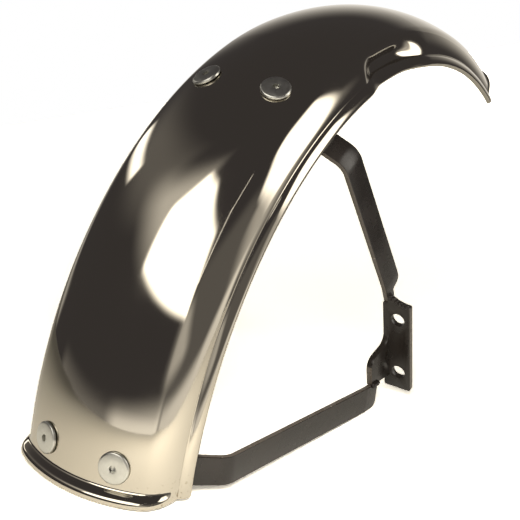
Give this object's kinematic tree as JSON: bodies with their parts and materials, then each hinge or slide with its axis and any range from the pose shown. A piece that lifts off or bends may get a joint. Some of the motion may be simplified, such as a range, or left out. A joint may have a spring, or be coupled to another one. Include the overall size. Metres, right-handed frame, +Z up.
{
  "type": "motorcycle front mudguard",
  "caption": "Arched polished-metal front mudguard with rolled edges, flared ends and fork pinches, bolted to a black flat-bar bracket with drilled fork plates.",
  "frame": {"origin": "middle of the bounding box's underside, where the rear lip and the bracket stand on the floor", "axes": "+X towards the rider's right, +Y forward along the wheel, +Z up"},
  "size_m": [0.2204, 0.4994, 0.2873],
  "materials": {
    "blade_metal": "polished",
    "bracket_paint": "satin",
    "fastener_metal": "zinc plated"
  },
  "bodies": {
    "root": {"mudguard_blade": "blade_metal", "upper_strap": "bracket_paint", "lower_strap": "bracket_paint", "right_fork_plate": "bracket_paint", "left_fork_plate": "bracket_paint", "bracket_welds": "bracket_paint", "disc_head_bolts": "fastener_metal", "hex_nuts": "fastener_metal"}
  },
  "joints": []
}
